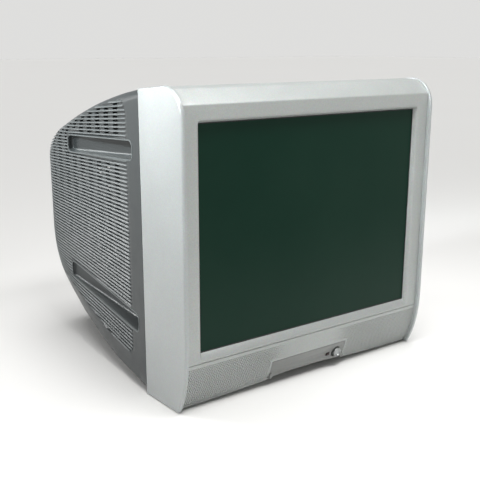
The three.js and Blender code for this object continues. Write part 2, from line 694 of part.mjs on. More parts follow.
// The rear cover's section at y, moved in by `inset`.
function coverRing(y, inset) {
  const t = Math.max(0, (y - SEAM) / (DEPTH - SEAM));
  const past = Math.max(0, y - (DEPTH - REAR_ROUND));
  const round = REAR_ROUND - inset;
  const shrink = round - Math.sqrt(Math.max(0, round ** 2 - past ** 2));
  const half = WIDTH / 2 - 1 - 33 * t - inset - shrink * 0.5;
  const top = HEIGHT - 6 - 42 * t - 46 * t * t - inset - shrink;
  const low = FLOOR + 26 * t ** 3 + inset + shrink * 0.6;
  const lowCorner = [blend(t ** 1.3, 12, 112), blend(t ** 1.6, 12, 165)];
  const highCorner = [blend(t, 14, 44), blend(t, 14, 40)];
  return ring(y, half, low, top, lowCorner, highCorner, 5);
}

function coverSolid(inset, front, back) {
  const stations = [front, 170, 240, 310, 380, DEPTH - REAR_ROUND, DEPTH - 20, back - 7, back - 2, back];
  return loft(stations.map((y) => coverRing(y, inset)));
}

// A grip is a long pocket with rounded corners and a flat inner wall parallel to the set's middle:
// [front y, front z, back y, back z, height, half width at the inner wall].
const GRIPS = { upper: [131, 351, 372, 338.5, 25, 203], lower: [126, 102, 382, 125, 26, 207] };

function gripOutline([y0, z0, y1, z1, height], grow) {
  const turn = Math.atan2(z1 - z0, y1 - y0);
  const half = height / 2 - GRIP_CORNER;
  const corners = [
    [y0 + GRIP_CORNER, z0 + half, 0.5],
    [y0 + GRIP_CORNER, z0 - half, 1],
    [y1 - GRIP_CORNER, z1 - half, 1.5],
    [y1 - GRIP_CORNER, z1 + half, 2],
  ];
  const s = new THREE.Shape();
  for (const [y, z, quarter] of corners) {
    s.absarc(y, z, GRIP_CORNER + grow, turn + quarter * Math.PI, turn + (quarter + 0.5) * Math.PI);
  }
  s.closePath();
  return s;
}

function gripSolid(side, grip, grow) {
  const reach = [grip[5] - grow, WIDTH / 2 + 5];
  return alongX(gripOutline(grip, grow), side > 0 ? reach : [-reach[1], -reach[0]]);
}

function rearCover() {
  const outer = coverSolid(0, SEAM + GAP, DEPTH);
  let body = outer.subtract(coverSolid(WALL, SEAM - 1, DEPTH - WALL));
  for (const side of [-1, 1]) {
    for (const grip of Object.values(GRIPS)) {
      body = body.add(gripSolid(side, grip, WALL - 0.6).intersect(outer));
      body = body.subtract(gripSolid(side, grip, 0));
    }
    const x = side * TUNNEL_X;
    body = body.add(rod(10, [SEAM + GAP, 330], x, TUNNEL_Z, 20).intersect(outer))
      .subtract(rod(7, [SEAM + 16, DEPTH], x, TUNNEL_Z, 20))
      .subtract(rod(2.4, [SEAM, SEAM + 20], x, TUNNEL_Z, 12))
      .subtract(rodZ(3.3, [-1, FLOOR + 20], side * 100, 360));
  }
  body = body.subtract(box([-62, 62], [DEPTH - 60, DEPTH + 1], [62, 104]));
  return body.subtract(rod(9, [DEPTH - 60, DEPTH + 1], GLAND.x, GLAND.z, 20));
}

makeFront();
makeFeet();
makeSpeaker('left', -SPEAKER_X);
makeSpeaker('right', SPEAKER_X);
makeTube();
makeYoke();
add('degaussing_coil', degaussingCoil(), BLACK_PLASTIC);
add('anode_cap', anodeCap(), RUBBER);
add('anode_lead', anodeLead(), [0x8c1d17, 0.5]);
makeChassis();
makeTerminals();
add('rear_cover', rearCover(), DARK_GREY);
add('cover_screw_left', screw(-TUNNEL_X, TUNNEL_Z, SEAM + 16.3, 28), STEEL);
add('cover_screw_right', screw(TUNNEL_X, TUNNEL_Z, SEAM + 16.3, 28), STEEL);

export default set;
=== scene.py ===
import json
import math
from collections import namedtuple

import bmesh
import bpy
import numpy as np
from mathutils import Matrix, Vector


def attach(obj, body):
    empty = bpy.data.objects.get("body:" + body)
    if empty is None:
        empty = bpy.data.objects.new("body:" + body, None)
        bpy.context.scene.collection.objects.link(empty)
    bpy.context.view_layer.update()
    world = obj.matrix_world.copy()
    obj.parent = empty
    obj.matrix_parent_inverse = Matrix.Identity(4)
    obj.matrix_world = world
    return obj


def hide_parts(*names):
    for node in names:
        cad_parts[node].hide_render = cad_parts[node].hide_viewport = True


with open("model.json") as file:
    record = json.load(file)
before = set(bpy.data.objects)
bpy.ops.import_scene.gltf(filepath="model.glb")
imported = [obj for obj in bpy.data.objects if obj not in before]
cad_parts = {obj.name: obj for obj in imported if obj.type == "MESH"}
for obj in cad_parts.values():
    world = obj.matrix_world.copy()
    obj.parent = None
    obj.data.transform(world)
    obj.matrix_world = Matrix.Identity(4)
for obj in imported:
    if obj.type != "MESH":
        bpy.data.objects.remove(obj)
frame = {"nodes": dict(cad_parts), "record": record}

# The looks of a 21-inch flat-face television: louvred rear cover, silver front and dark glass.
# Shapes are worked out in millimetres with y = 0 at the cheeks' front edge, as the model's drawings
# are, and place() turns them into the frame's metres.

# ---------- driving dimensions, in millimetres ----------

WIDTH = 472
HEIGHT = 442
DEPTH = 487
SEAM = 106  # where the front moulding ends and the rear cover starts
GAP = 0.4  # between the two
FLOOR = 2  # height of the underside, above the feet's soles
EDGE_ROUND = 0.35  # on the small CAD pieces

# The front moulding.
FACE = 6  # y of its flat face
FRONT_HALF = 229.6  # half its width between the cheeks
FRONT_WALL = 2.4
FACE_TOP = 408  # where the flat face ends
TOP_ROLL = [(FACE, FACE_TOP), (FACE, 419, 4), (28, 439, 9), (50, 440.5, 20), (SEAM, 434.5)]  # y, z, radius
CURVE_TOP = 95  # below this height the face curves back, bending at the next height
CURVE_BEND = 38
CURVE_BACK = 29  # y of the curve's end at height 0
OPENING_HALF = 204
OPENING_LOW = 85
OPENING_TOP = 396
REVEAL = (5, 11, 4, 7.2)  # the bevel round the glass: width at the sides, below, above, and depth
REVEAL_CORNER = (1.2, 6)  # radius of its corners at the glass and at the face
REVEAL_CURVE = 1.7  # how hollow it is: 1 is straight
GLASS = 13.4  # y of the faceplate's front

# The chin.
CHIN_TOP = 72
CHIN_GAP = 0.6
CHIN_WALL = 2.2
ARCH = 10  # height of the underside in the middle
ARCH_HALF = 205
CHIN_COLUMNS = 60
CHIN_ROWS = 22
FLAP_HALF = 74.5
FLAP_TOP = 40
HOLE_ROWS = 22
HOLES = 59  # in each row, on each side
HOLE_PITCH = 3.1
HOLE_ROW = 0.87  # share of the pitch from row to row
HOLE_RADIUS = 0.92
HOLE_LOW = 8
HOLE_START = 44  # distance from the middle to the first, smallest holes
HOLE_FADE = 50  # the share of HOLE_RADIUS grows by 1 over this distance
HOLE_END = 226
POWER = (59, 24)  # x and z of the power button

# The cheeks.
CHEEK = 6
CHEEK_ROLL = 42  # radius of the corner at the top
CHEEK_TOP = [(64, 2.06), (84, 3.93), (SEAM, 6)]  # y, and drop from the full height
CHEEK_FOOT = (22, 37, 95)  # the foot's curve: y of its lower end, height of its bend and of its upper end
CHEEK_LOW = 0.4
CHEEK_EDGES = (3.2, 1.2)  # radius of the outer and the inner edge

# The rear cover. Its corner radii go from the first to the second at the back, in x and in z.
COVER_WALL = 5.6
COVER_STEP = (1, 6)  # how far it is set in from the width and the height at the seam
SIDE_TAPER = 33
TOP_DROP = (42, 46)
FLOOR_RISE = 26
REAR_ROUND = 34
LOW_CORNER = ((12, 112), (12, 165))
HIGH_CORNER = ((14, 44), (14, 40))
TUNNEL = (205, 420, 7)  # |x|, z, radius
POST_WALL = 3  # of the posts that the screws' tunnels run through
GLAND = (-96, 96, 9)  # x, z, radius
TERMINALS = ((-62, 62), (62, 104))  # x and z of the terminal panel's window

# The louvres on the cover's sides.
RIB_PITCH = 5.9
RIB_LOW = 44
RIB_COUNT = 64
RIB_DEPTH = 3.1
RIB_SLOPE = (0.09, 0.00057)  # the slope of the line at RIB_LEVEL, and how much less each mm above it
RIB_LEVEL = (150, 102)
SLOT_STEP = 8.25  # half a slot's length
SLOT_START = 180
SLOT_END = 456
SLOT_CLEAR = 7  # least distance from a slot to a grip
FIELD_FRONT = 147
FIELD_BACK = 474
FIELD_TOP = (404, 0.9, 9)  # height at the front, rise for each mm back, and least distance to the top
FIELD_LOW = [(38, 169, 0.257), (52, 151, -0.78)]  # lines by height, y and slope: the higher one counts
FIELD_FADE = (5, 3)  # over which the louvres get their depth, from the ends and from below and above
GRIP_FADE = (1.6, 2.4)  # where that starts outside a grip, and how far it goes

# Across one louvre, from its lower lip up: share of the pitch and share of the groove's depth.
RIB_PROFILE = [(0.0, 0.06), (0.08, 0.0), (0.44, 0.4), (0.52, 1.0), (0.94, 1.0)]
# BAR's faces take the lighter plastic as a painted highlight of the bars' lit faces.
BAR = 1  # the part of the profile that is the bar's lit face
GROOVE = 3  # the part that is open in a slot

# A column of the cover's wall: how far round its corners the side's rows start and end, in degrees, and
# how many steps it takes over each of its parts.
LOW_ANGLE = 62
HIGH_ANGLE = 52
FLAT_STEPS = 7
LOW_STEPS = 6
PLAIN_STEPS = 3
HIGH_STEPS = 5
BELOW_RIBS = FLAT_STEPS + LOW_STEPS + PLAIN_STEPS

# The vents in the cover's top and back.
VENT_COLUMNS = [-132 + 44 * k for k in range(7)]
VENT_HALF = 16
TOP_VENTS = (22, 158, 8.4, 1.5)  # rows, first row, pitch, half width
BACK_VENTS = (17, 136, 8.6, 1.6)

# A finger grip: its front and back ends, its height and the half width at its inner wall.
Grip = namedtuple("Grip", "y0 z0 y1 z1 height wall")
GRIPS = (Grip(131, 351, 372, 338.5, 25, 203), Grip(126, 102, 382, 125, 26, 207))
GRIP_CORNER = 8
GRIP_FILLET = 4
GRIP_WALL = 2.4
GRIP_FLARE = (0.9, 1.2)  # how much the mouth widens, and over what depth
GRIP_LIP = (1.3, 1.1, 0.7)  # the bead's distance from the edge, and its radii along the wall and outwards

# The camera, in metres, degrees and millimetres of lens.
CAMERA_PLACE = (-0.7818, -1.0735, 0.4891)
CAMERA_YAW = 37.03
CAMERA_PITCH = 15.36
CAMERA_LENS = 59.9
CAMERA_SHIFT = (0.0127, 0.054)

# The world's strength falls from the first to the second between two heights of the view's direction.
WORLD_STRENGTH = (0.735, 0.2)
WORLD_RISE = (0.06, 0.3)
WORLD_COLOR = (1.0, 0.998, 0.985, 1)

SCENE = bpy.context.scene


# ---------- numbers ----------

def mix(a, b, t):
    return a + (b - a) * t


def smooth(t):
    t = np.clip(t, 0, 1)
    return t * t * (3 - 2 * t)


def quadratic(start, bend, end, t):
    return start * (1 - t) ** 2 + 2 * bend * t * (1 - t) + end * t * t


def place(points):
    """Millimetres from the cheeks' front edge to metres in the frame."""
    return (np.array(points, float).reshape(-1, 3) - (0, DEPTH / 2, 0)) / 1000


# ---------- meshes ----------

def make(name, points, faces, crease=32, second=()):
    """A mesh object from points in millimetres, welded, with edges sharper than `crease` left hard.
    The faces in `second` take the object's second material."""
    mesh = bpy.data.meshes.new(name)
    mesh.from_pydata(place(points).tolist(), [], faces)
    if second:
        mesh.materials.append(None)
        mesh.materials.append(None)
        mesh.polygons.foreach_set("material_index", [int(i in second) for i in range(len(faces))])
    b = bmesh.new()
    b.from_mesh(mesh)
    bmesh.ops.remove_doubles(b, verts=b.verts, dist=1e-5)
    bmesh.ops.dissolve_degenerate(b, edges=b.edges, dist=1e-6)
    bmesh.ops.recalc_face_normals(b, faces=b.faces)
    b.to_mesh(mesh)
    b.free()
    piece = bpy.data.objects.new(name, mesh)
    SCENE.collection.objects.link(piece)
    shade(piece, crease)
    return piece


def shade(piece, crease):
    piece.data.shade_smooth()
    piece.data.set_sharp_from_angle(angle=math.radians(crease))


def settle(piece):
    """Applies the piece's modifiers."""
    bpy.context.view_layer.update()
    graph = bpy.context.evaluated_depsgraph_get()
    mesh = bpy.data.meshes.new_from_object(piece.evaluated_get(graph))
    piece.modifiers.clear()
    old = piece.data
    piece.data = mesh
    mesh.name = piece.name
    bpy.data.meshes.remove(old)


def carve(piece, tool, operation="DIFFERENCE"):
    """Cuts the tool out of the piece, or joins it on, and removes the tool."""
    modifier = piece.modifiers.new("carve", "BOOLEAN")
    modifier.solver = "MANIFOLD"
    modifier.operation = operation
    modifier.object = tool
    settle(piece)
    bpy.data.objects.remove(tool)


def thicken(piece, wall):
    """Gives an open surface a wall of this thickness behind it."""
    thick = piece.modifiers.new("thick", "SOLIDIFY")
    thick.thickness = wall / 1000
    thick.offset = -1
    settle(piece)


def finish(piece, material, body="cabinet", nodes=(), second=None):
    """Gives a piece its material, its body and the CAD nodes that it stands for."""
    if second:
        piece.data.materials[0] = material
        piece.data.materials[1] = second
    else:
        piece.data.materials.clear()
        piece.data.materials.append(material)
    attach(piece, body)
    if nodes:
        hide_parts(*nodes)


def loft_mesh(rings, start=0, close=True):
    """Points and faces of a solid through rings with equal counts."""
    n = len(rings[0])
    points = [p for r in rings for p in r]
    faces = []
    for k in range(len(rings) - 1):
        for i in range(n):
            a = start + k * n + i
            b = start + k * n + (i + 1) % n
            faces.append((a, b, b + n, a + n))
    if close:
        faces.append(tuple(start + i for i in reversed(range(n))))
        faces.append(tuple(start + (len(rings) - 1) * n + i for i in range(n)))
    return points, faces


def grid_faces(start, lines, count):
    """The faces between neighbouring lines of points, each with the same count."""
    faces = []
    for line in range(lines - 1):
        for i in range(count - 1):
            at = start + line * count + i
            faces.append((at, at + 1, at + count + 1, at + count))
    return faces


def solids(name, lofts, crease=32):
    """One mesh object of several separate solids, each given by its rings."""
    points = []
    faces = []
    for rings in lofts:
        p, f = loft_mesh(rings, len(points))
        points += p
        faces += f
    return make(name, points, faces, crease)


def block(x, y, z):
    """The two rings of a box."""
    corners = [(x[0], z[0]), (x[1], z[0]), (x[1], z[1]), (x[0], z[1])]
    return [[(cx, yy, cz) for cx, cz in corners] for yy in y]


def circle(radius, x, z, y, sides=24):
    """A ring round the line along Y through (x, z)."""
    turn = 2 * math.pi / sides
    return [
        (x + radius * math.cos(i * turn), y, z + radius * math.sin(i * turn))
        for i in range(sides)
    ]


def turned(profile, x, z, sides=48):
    """The rings of a solid turned about the line along Y through (x, z)."""
    return [circle(r, x, z, y, sides) for r, y in profile]


def fillet(points, steps=5):
    """A polyline whose inner corners (a, b, radius) are rounded."""
    out = [points[0]]
    for before, at, after in zip(points, points[1:], points[2:]):
        a, p, c = (np.array(v[:2], float) for v in (before, at, after))
        radius = at[2]
        u = (a - p) / np.linalg.norm(a - p)
        v = (c - p) / np.linalg.norm(c - p)
        half = math.acos(float(np.clip(u @ v, -1, 1))) / 2
        reach = radius / math.tan(half)
        centre = p + (u + v) / np.linalg.norm(u + v) * radius / math.sin(half)
        first = p + u * reach - centre
        last = p + v * reach - centre
        sweep = math.acos(float(np.clip(first @ last / radius**2, -1, 1)))
        for k in range(steps + 1):
            t = k / steps
            q = (first * math.sin((1 - t) * sweep) + last * math.sin(t * sweep)) / math.sin(sweep)
            out.append(tuple(centre + q))
    out.append(points[-1])
    return out


# ---------- camera, lights and floor ----------

def make_camera():
    data = bpy.data.cameras.new("camera")
    data.lens = CAMERA_LENS
    data.sensor_width = 36
    data.shift_x, data.shift_y = CAMERA_SHIFT
    camera = bpy.data.objects.new("camera", data)
    SCENE.collection.objects.link(camera)
    camera.location = CAMERA_PLACE
    yaw = math.radians(CAMERA_YAW)
    pitch = math.radians(CAMERA_PITCH)
    forward = Vector((math.sin(yaw) * math.cos(pitch), math.cos(yaw) * math.cos(pitch), -math.sin(pitch)))
    camera.rotation_mode = "QUATERNION"
    camera.rotation_quaternion = forward.to_track_quat("-Z", "Y")
    SCENE.camera = camera


def put_light(name, data, spot, aim):
    light = bpy.data.objects.new(name, data)
    SCENE.collection.objects.link(light)
    light.location = spot
    light.rotation_mode = "QUATERNION"
    light.rotation_quaternion = (Vector(aim) - Vector(spot)).to_track_quat("-Z", "Y")


def area_light(name, spot, aim, size, power, spread, color=(1, 1, 1)):
    data = bpy.data.lights.new(name, "AREA")
    data.shape = "RECTANGLE"
    data.size, data.size_y = size
    data.energy = power
    data.spread = math.radians(spread)
    data.color = color
    put_light(name, data, spot, aim)


def sun_light(name, power, angle):
    data = bpy.data.lights.new(name, "SUN")
    data.energy = power
    data.angle = math.radians(angle)
    put_light(name, data, (0, 0, 3), (0, 0, 0))


def make_world():
    """A pale surround that is bright at the horizon, as the far floor is, and dimmer overhead."""
    world = bpy.data.worlds.new("studio")
    SCENE.world = world
    world.use_nodes = True
    tree = world.node_tree
    way = tree.nodes.new("ShaderNodeTexCoord")
    split = tree.nodes.new("ShaderNodeSeparateXYZ")
    ramp = tree.nodes.new("ShaderNodeMapRange")
    ramp.interpolation_type = "SMOOTHSTEP"
    ramp.inputs["From Min"].default_value, ramp.inputs["From Max"].default_value = WORLD_RISE
    ramp.inputs["To Min"].default_value, ramp.inputs["To Max"].default_value = WORLD_STRENGTH
    tree.links.new(way.outputs["Generated"], split.inputs["Vector"])
    tree.links.new(split.outputs["Z"], ramp.inputs["Value"])
    back = tree.nodes["Background"]
    back.inputs["Color"].default_value = WORLD_COLOR
    tree.links.new(ramp.outputs["Result"], back.inputs["Strength"])


def make_lights():
    """A narrow key along the near cheek, two soft lights, a strip over the top edge and a wide overhead."""
    area_light("key_left", (-1.5, -0.05, 1.0), (-0.23, -0.05, 0.47), size=(1.0, 0.1), power=1.35, spread=26,
               color=(0.93, 0.985, 1.0))
    area_light("edge_left", (-1.15, 1.25, 0.9), (-0.23, 0, 0.44), size=(0.8, 0.5), power=1.4, spread=40)
    area_light("front_fill", (0.9, -2.2, 1.7), (0, 0, 0.7), size=(1.5, 1.0), power=0.5, spread=60)
    area_light("top_strip", (0.0, -0.55, 1.25), (0, -0.2, 0.44), size=(0.9, 0.3), power=2.9, spread=100)
    sun_light("overhead", power=2.0, angle=45)


def make_floor():
    bpy.ops.mesh.primitive_plane_add(size=60, location=(0, 0, 0))
    floor = bpy.context.object
    floor.name = "floor"
    floor.data.materials.append(studio_floor())


def make_studio():
    make_world()
    make_lights()
    make_floor()
    SCENE.view_settings.view_transform = "Standard"


# ---------- materials ----------

class Nodes:
    """A material's node tree, with short calls for the nodes it needs."""

    # The places of the Mix node's colour sockets.
    MIX_FACTOR, MIX_A, MIX_B, MIX_RESULT = 0, 6, 7, 2

    def __init__(self, name):
        self.material = bpy.data.materials.new(name)
        self.material.use_nodes = True
        self.tree = self.material.node_tree
        self.shader = self.tree.nodes["Principled BSDF"]
        self.place = self.add("ShaderNodeTexCoord").outputs["Object"]

    def add(self, kind, **inputs):
        node = self.tree.nodes.new(kind)
        for name, value in inputs.items():
            self.put(node.inputs[name.replace("_", " ")], value)
        return node

    def put(self, socket, value):
        if isinstance(value, bpy.types.NodeSocket):
            self.tree.links.new(value, socket)
        else:
            socket.default_value = value

    def noise(self, scale, detail=4.0):
        node = self.add("ShaderNodeTexNoise", Vector=self.place, Scale=scale, Detail=detail, Roughness=0.55)
        return node.outputs["Fac"]

    def cells(self, scale):
        node = self.add("ShaderNodeTexVoronoi", Vector=self.place, Scale=scale)
        return node.outputs["Color"]

    def span(self, value, low, high, start=0.0, end=1.0):
        """The value's range from `start` to `end`, turned into `low` to `high`."""
        node = self.add("ShaderNodeMapRange", Value=value)
        node.inputs["From Min"].default_value = start
        node.inputs["From Max"].default_value = end
        node.inputs["To Min"].default_value = low
        node.inputs["To Max"].default_value = high
        return node.outputs["Result"]

    def blend(self, factor, a, b, kind="MIX"):
        node = self.tree.nodes.new("ShaderNodeMix")
        node.data_type = "RGBA"
        node.blend_type = kind
        self.put(node.inputs[self.MIX_FACTOR], factor)
        self.put(node.inputs[self.MIX_A], a)
        self.put(node.inputs[self.MIX_B], b)
        return node.outputs[self.MIX_RESULT]

    def times(self, a, b):
        node = self.tree.nodes.new("ShaderNodeMath")
        node.operation = "MULTIPLY"
        self.put(node.inputs[0], a)
        self.put(node.inputs[1], b)
        return node.outputs[0]

    def edges(self):
        """About 1 on worn, convex edges and 0 elsewhere."""
        geometry = self.add("ShaderNodeNewGeometry")
        return self.span(geometry.outputs["Pointiness"], 0.0, 1.0, 0.52, 0.62)

    def bump(self, height, strength, distance):
        node = self.add("ShaderNodeBump", Height=height, Strength=strength, Distance=distance)
        self.put(self.shader.inputs["Normal"], node.outputs["Normal"])

    def set(self, **inputs):
        for name, value in inputs.items():
            self.put(self.shader.inputs[name.replace("_", " ")], value)


def tone(color, factor):
    return (color[0] * factor, color[1] * factor, color[2] * factor, 1)


def paint(name, color, roughness, grain=1.0, metallic=0.0, grain_scale=1800, flakes=0.0, wear=0.0,
          specular=0.5):
    """Moulded or painted plastic: fine grain, faint blotches, optional metal flakes and worn edges."""
    n = Nodes(name)
    cloud = n.noise(7.0, 5.0)
    base = n.blend(n.span(cloud, 0.0, 1.0, 0.3, 0.7), tone(color, 0.94), tone(color, 1.05))
    speck = n.noise(620.0, 2.0)
    base = n.blend(n.span(speck, 0.0, 0.5 * grain + 0.05, 0.35, 0.65), base, tone(color, 0.86))
    if flakes:
        bright = n.cells(1150.0)
        base = n.blend(flakes, base, n.blend(1.0, base, bright, "OVERLAY"))
    if wear:
        base = n.blend(n.times(n.edges(), wear), base, tone(color, 1.3))
    rough = n.span(n.noise(38.0), roughness - 0.05, roughness + 0.06, 0.3, 0.7)
    n.set(Base_Color=base, Roughness=rough, Metallic=metallic, Specular_IOR_Level=specular)
    n.bump(n.noise(float(grain_scale), 3.0), 0.12 * grain + 0.01, 0.0003)
    return n.material


def silver(name, color, roughness, grain, flakes, wear):
    """Metallic paint."""
    return paint(name, color, roughness, grain, 0.3, 1500, flakes, wear)


def moulded(name, color, roughness, wear=0.0, specular=0.5):
    """Dark plastic with a coarser grain."""
    return paint(name, color, roughness, grain_scale=900, wear=wear, specular=specular)


def studio_floor():
    """A plain pale floor, a little warm, with the faintest unevenness."""
    n = Nodes("studio_floor")
    base = n.blend(n.noise(0.6, 2.0), (0.86, 0.855, 0.84, 1), (0.875, 0.87, 0.855, 1))
    n.set(Base_Color=base, Roughness=0.9, Specular_IOR_Level=0.1)
    return n.material


def glass_face(name):
    """The dark tinted glass of the faceplate, with the faintest haze."""
    n = Nodes(name)
    smear = n.noise(3.2, 3.0)
    base = n.blend(n.span(smear, 0.0, 1.0, 0.35, 0.7), (0.002, 0.023, 0.013, 1), (0.006, 0.029, 0.0175, 1))
    rough = n.span(n.noise(9.0), 0.045, 0.1, 0.3, 0.7)
    n.set(Base_Color=base, Roughness=rough, Metallic=0.0, Specular_IOR_Level=0.13)
    return n.material


def metal(name, color, roughness, scratch=1.0):
    """Drawn or plated metal with fine lines along X and a few dull patches."""
    n = Nodes(name)
    streak = n.add("ShaderNodeMapping", Vector=n.place)
    streak.inputs["Scale"].default_value = (40, 900, 900)
    lines = n.add("ShaderNodeTexNoise", Vector=streak.outputs["Vector"], Scale=1.0, Detail=3.0).outputs["Fac"]
    base = n.blend(n.span(lines, 0.0, 1.0, 0.35, 0.65), tone(color, 0.88), tone(color, 1.06))
    base = n.blend(n.span(n.noise(22.0), 0.0, 0.3, 0.45, 0.75), base, tone(color, 0.75))
    rough = n.span(lines, roughness - 0.08 * scratch, roughness + 0.1 * scratch, 0.3, 0.7)
    n.set(Base_Color=base, Roughness=rough, Metallic=1.0)
    n.bump(lines, 0.08 * scratch, 0.0002)
    return n.material


def board(name):
    """A phenolic circuit board: brown, with a fibre pattern and lighter tracks."""
    n = Nodes(name)
    fibre = n.noise(300.0, 2.0)
    base = n.blend(fibre, (0.16, 0.095, 0.03, 1), (0.23, 0.14, 0.05, 1))
    tracks = n.add("ShaderNodeTexBrick", Vector=n.place, Scale=60.0)
    tracks.inputs["Mortar Size"].default_value = 0.03
    base = n.blend(n.times(tracks.outputs["Fac"], 0.35), base, (0.3, 0.19, 0.08, 1))
    n.set(Base_Color=base, Roughness=n.span(fibre, 0.5, 0.7))
    n.bump(tracks.outputs["Fac"], 0.2, 0.0003)
    return n.material


def winding(name, color):
    """Enamelled wire: fine parallel turns."""
    n = Nodes(name)
    wave = n.add("ShaderNodeTexWave", Vector=n.place, Scale=420.0, Distortion=3.0)
    base = n.blend(wave.outputs["Fac"], tone(color, 0.5), tone(color, 1.1))
    n.set(Base_Color=base, Roughness=0.35, Metallic=0.7)
    n.bump(wave.outputs["Fac"], 0.5, 0.0004)
    return n.material


def make_materials():
    """Every material, by the record's slot or by its own name."""
    return {
        "silver_plastic": silver("silver_paint", (0.43, 0.45, 0.44), 0.4, 0.8, 0.10, 0.25),
        "light_silver_plastic": silver("light_silver_paint", (0.45, 0.475, 0.475), 0.36, 0.7, 0.08, 0.2),
        "flap_silver": silver("flap_paint", (0.25, 0.257, 0.25), 0.42, 0.8, 0.08, 0.4),
        "dark_grey_plastic": moulded("cover_plastic", (0.048, 0.055, 0.057), 0.34, 0.35, 0.35),
        # A lighter copy of the cover's plastic: a painted highlight on the louvres' bars and on the grips'
        # ledges and lips.
        "painted_highlight_grey": moulded("cover_plastic_painted_highlight", (0.122, 0.138, 0.14), 0.36, 0.3),
        "black_plastic": moulded("black_plastic", (0.022, 0.022, 0.024), 0.5),
        "white_plastic": paint("white_plastic", (0.34, 0.33, 0.3), 0.5, 0.5),
        "bright_button": metal("bright_plating", (0.4, 0.415, 0.415), 0.3, 0.4),
        "lamp_window": paint("lamp_window", (0.03, 0.012, 0.012), 0.08, 0.1),
        "tinted_glass": glass_face("tinted_glass"),
        "coated_glass": paint("graphite_coat", (0.03, 0.03, 0.032), 0.7),
        "steel": metal("steel", (0.34, 0.345, 0.35), 0.45),
        "aluminium": metal("aluminium", (0.72, 0.73, 0.74), 0.34),
        "copper_winding": winding("copper_winding", (0.55, 0.22, 0.1)),
        "ferrite": paint("ferrite", (0.035, 0.036, 0.04), 0.6),
        "circuit_board": board("circuit_board"),
        "rubber": paint("rubber", (0.02, 0.02, 0.02), 0.75),
        "red_lead": paint("red_lead", (0.42, 0.03, 0.02), 0.4, 0.3),
        "paper_cone": paint("paper_cone", (0.03, 0.03, 0.03), 0.9, 1.6, grain_scale=600),
        "capacitor_sleeve": paint("capacitor_sleeve", (0.02, 0.03, 0.06), 0.3, 0.2),
        "gasket_black": paint("gasket_black", (0.006, 0.006, 0.006), 0.5, 0.4),
    }


# ---------- rear cover: its shape ----------

def section(y, inset=0.0):
    """The cover's section at y: half width, low, top and the (x, z) radii of its corners."""
    t = max(0.0, (y - SEAM) / (DEPTH - SEAM))
    past = max(0.0, y - (DEPTH - REAR_ROUND))
    ring = REAR_ROUND - inset
    shrink = ring - math.sqrt(max(0.0, ring**2 - past**2))
    half = WIDTH / 2 - COVER_STEP[0] - SIDE_TAPER * t - inset - shrink * 0.5
    top = HEIGHT - COVER_STEP[1] - TOP_DROP[0] * t - TOP_DROP[1] * t * t - inset - shrink
    low = FLOOR + FLOOR_RISE * t**3 + inset + shrink * 0.6
    low_corner = (mix(*LOW_CORNER[0], t**1.3), mix(*LOW_CORNER[1], t**1.6))
    high_corner = (mix(*HIGH_CORNER[0], t), mix(*HIGH_CORNER[1], t))
    return half, low, top, low_corner, high_corner


def side_reach(y, z, inset=0.0):
    """How far out the cover's side is at (y, z)."""
    half, low, top, (lx, lz), (hx, hz) = section(y, inset)
    x = half
    if z < low + lz:
        x = half - lx * (1 - math.sqrt(max(0.0, 1 - ((low + lz - z) / lz) ** 2)))
    if z > top - hz:
        x = half - hx * (1 - math.sqrt(max(0.0, 1 - ((z - top + hz) / hz) ** 2)))
    return x


def inside(x, y, z, inset):
    _, low, top, _, _ = section(y, inset)
    return low < z < top and abs(x) < side_reach(y, z, inset)


def off_grip(y, z):
    """Distance in millimetres from (y, z) to the nearest grip's edge, 0 inside it."""
    nearest = math.inf
    for grip in GRIPS:
        turn = math.atan2(grip.z1 - grip.z0, grip.y1 - grip.y0)
        along = (y - grip.y0) * math.cos(turn) + (z - grip.z0) * math.sin(turn)
        across = -(y - grip.y0) * math.sin(turn) + (z - grip.z0) * math.cos(turn)
        length = math.hypot(grip.y1 - grip.y0, grip.z1 - grip.z0)
        dy = max(0.0, -along, along - length)
        dz = max(0.0, abs(across) - grip.height / 2)
        nearest = min(nearest, math.hypot(dy, dz))
    return nearest


# ---------- rear cover: its louvres ----------

def rib_height(v, y):
    """The height at y of the louvre line that starts at height v."""
    slope = RIB_SLOPE[0] - RIB_SLOPE[1] * (v - RIB_LEVEL[1])
    return v + slope * (y - RIB_LEVEL[0])


def louvre(y, z):
    """How fully the louvres are cut at (y, z), from 0 to 1: they fade out at the field's borders
    and round the grips."""
    _, _, top, _, _ = section(y)
    high, rise, margin = FIELD_TOP
    ceiling = min(top - margin, high + (y - FIELD_FRONT) * rise)
    floor = max(z0 + slope * (y - y0) for z0, y0, slope in FIELD_LOW)
    along, across = FIELD_FADE
    cut = smooth((y - FIELD_FRONT) / along) * smooth((FIELD_BACK - y) / along)
    cut *= smooth((ceiling - z) / across) * smooth((z - floor) / across)
    start, reach = GRIP_FADE
    return float(cut * smooth((off_grip(y, z) - start) / reach))


def cover_rows():
    """The rows of the side wall: (start height, share of the groove's depth, part of the louvre)."""
    rows = []
    for k in range(RIB_COUNT):
        for part, (share, depth) in enumerate(RIB_PROFILE):
            rows.append((RIB_LOW + (k + share) * RIB_PITCH, depth, part))
    return rows


def cover_stations():
    """The y of each column of the wall: the slots' ends in the middle, closer where it turns."""
    front = [SEAM + GAP, 109, 118, 130, 141, 147, 148.6, 150.4, 152.4]
    slots = [SLOT_START + SLOT_STEP * j for j in range(-3, 34)]
    back = [460, 466, 471, 475, 478.5, 481.5, 483.8, 485.4, 486.4, 487]
    return front + slots + back


